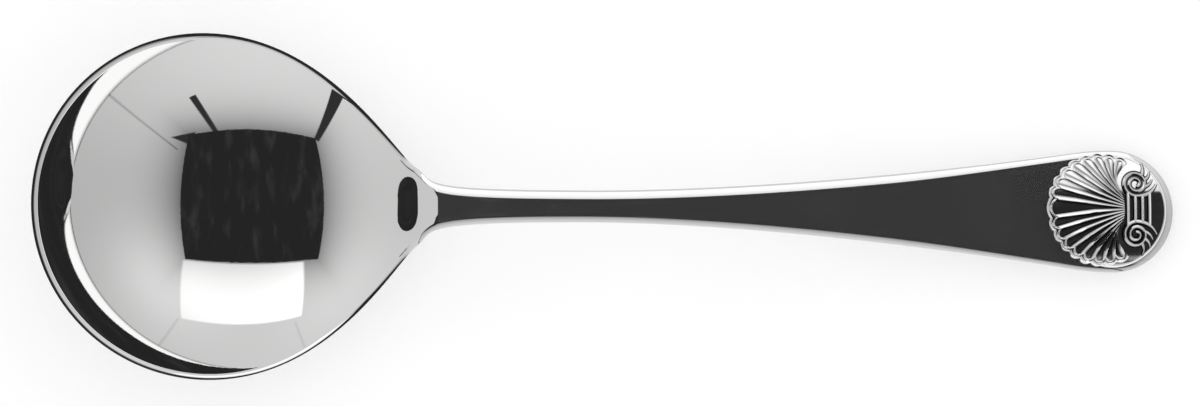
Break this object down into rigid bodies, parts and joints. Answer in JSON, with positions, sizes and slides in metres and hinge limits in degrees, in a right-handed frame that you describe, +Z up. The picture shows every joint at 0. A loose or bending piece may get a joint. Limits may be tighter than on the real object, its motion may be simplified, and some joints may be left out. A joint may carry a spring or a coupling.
{
  "type": "sugar spoon",
  "caption": "Polished sugar spoon with a deep round bowl, a slim handle that widens to a rounded end, and a scallop shell with scrolls applied to the end.",
  "frame": {"origin": "on the table, at the middle of the small flat under the bowl's deepest point", "axes": "+X along the spoon towards the handle's end, +Y across it, +Z up out of the bowl"},
  "size_m": [0.14, 0.0426, 0.0152],
  "materials": {
    "polished_bowl": "mirror-polished silver plate",
    "polished_handle": "mirror-polished silver plate with fine hairlines along the handle",
    "cast_ornament": "bright cast silver plate, a little darker in the recesses"
  },
  "bodies": {
    "root": {"bowl": "polished_bowl", "handle": "polished_handle", "shell": "cast_ornament"}
  },
  "joints": []
}
